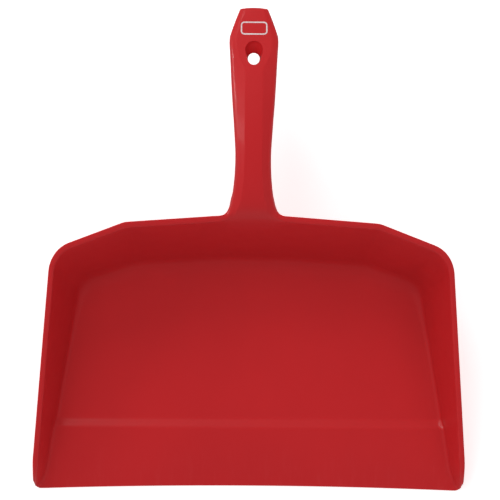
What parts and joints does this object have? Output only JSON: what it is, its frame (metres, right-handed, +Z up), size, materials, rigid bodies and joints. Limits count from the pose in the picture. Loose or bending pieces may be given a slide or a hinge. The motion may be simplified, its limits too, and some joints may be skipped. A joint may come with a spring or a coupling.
{
  "type": "dust pan",
  "caption": "Wide hand-held dust pan moulded in one piece of red plastic, with sloping side walls, an entry ramp and a raised grip with a hanging hole.",
  "frame": {"origin": "on the ground under the middle of the whole object, handle included", "axes": "+Y from the scraping lip towards the end of the handle, +X to the right seen from above with the handle pointing away, +Z up; the flat underside stands on z = 0"},
  "size_m": [0.2944, 0.33, 0.1],
  "materials": {
    "pan_plastic": "satin moulded polypropylene",
    "mark_ink": "pad-printed ink"
  },
  "bodies": {
    "root": {"front_lip": "pan_plastic", "entry_ramp": "pan_plastic", "retaining_ridge": "pan_plastic", "tray_floor": "pan_plastic", "left_wall": "pan_plastic", "right_wall": "pan_plastic", "left_rear_corner": "pan_plastic", "right_rear_corner": "pan_plastic", "back_wall": "pan_plastic", "handle_neck": "pan_plastic", "handle_grip": "pan_plastic", "hanging_eye": "pan_plastic", "printed_mark": "mark_ink"}
  },
  "joints": []
}
